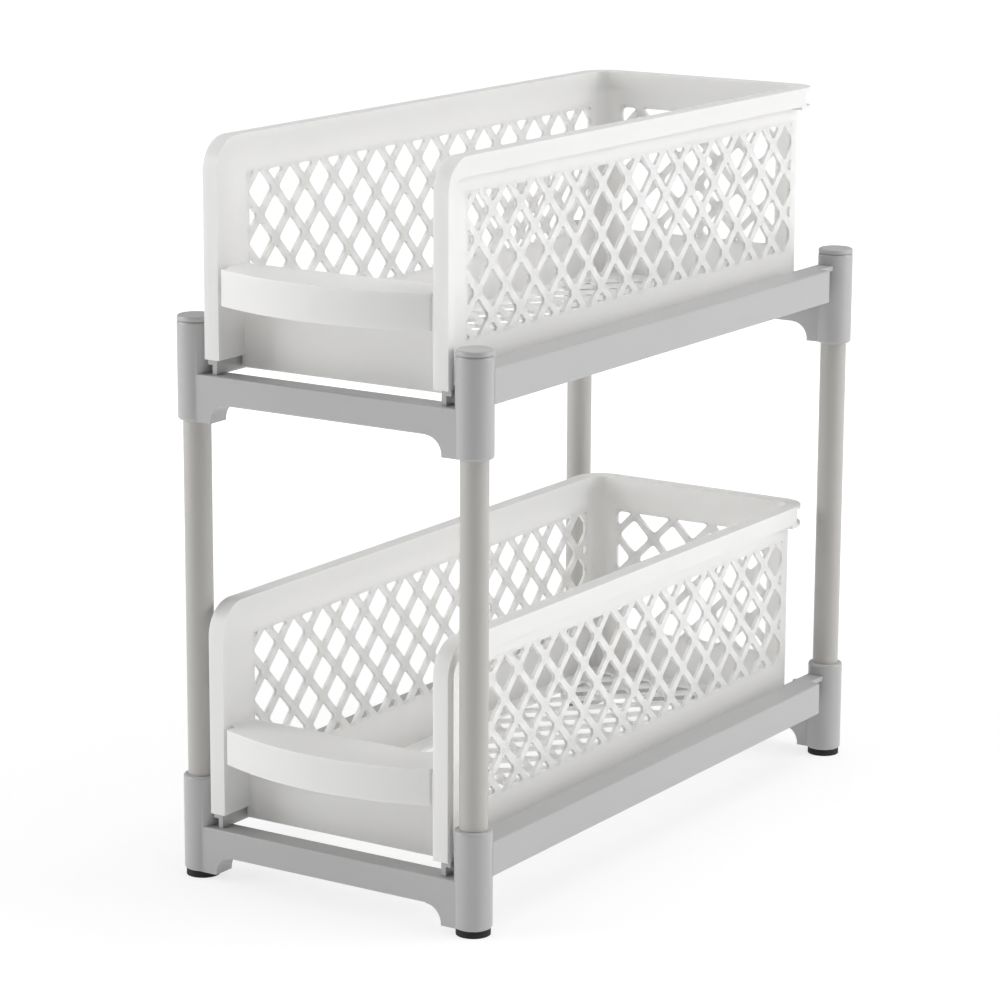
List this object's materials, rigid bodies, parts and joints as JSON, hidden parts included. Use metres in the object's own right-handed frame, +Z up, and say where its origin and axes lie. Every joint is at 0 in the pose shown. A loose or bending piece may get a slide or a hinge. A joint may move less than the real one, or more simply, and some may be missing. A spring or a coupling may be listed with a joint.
{
  "type": "under sink organizer",
  "caption": "Two-tier free-standing rack with moulded lattice baskets that slide out to the front on runners between plastic rails.",
  "frame": {"origin": "middle of the organizer's box on the floor, under its feet", "axes": "+X to the right seen from the front, +Y to the back, +Z up; the handles face -Y"},
  "size_m": [0.213, 0.454, 0.4393],
  "materials": {
    "frame_plastic": "grey moulded plastic, fine satin",
    "tube_plastic": "grey extruded plastic, satin",
    "basket_plastic": "off-white moulded plastic, soft gloss",
    "foot_rubber": "black rubber, matte"
  },
  "bodies": {
    "root": {"lower_front_frame": "frame_plastic", "lower_rear_frame": "frame_plastic", "upper_front_frame": "frame_plastic", "upper_rear_frame": "frame_plastic", "lower_left_rail": "frame_plastic", "lower_right_rail": "frame_plastic", "upper_left_rail": "frame_plastic", "upper_right_rail": "frame_plastic", "tube_front_left": "tube_plastic", "tube_front_right": "tube_plastic", "tube_rear_left": "tube_plastic", "tube_rear_right": "tube_plastic", "cap_front_left": "frame_plastic", "cap_front_right": "frame_plastic", "cap_rear_left": "frame_plastic", "cap_rear_right": "frame_plastic", "foot_front_left": "foot_rubber", "foot_front_right": "foot_rubber", "foot_rear_left": "foot_rubber", "foot_rear_right": "foot_rubber"},
    "lower_basket": {"lower_basket": "basket_plastic"},
    "upper_basket": {"upper_basket": "basket_plastic"}
  },
  "joints": [
    {"name": "lower_basket_slide", "type": "slide", "parent": "root", "child": "lower_basket", "axis": [0, -1, 0], "range_m": [0, 0.26]},
    {"name": "upper_basket_slide", "type": "slide", "parent": "root", "child": "upper_basket", "axis": [0, -1, 0], "range_m": [0, 0.26]}
  ]
}
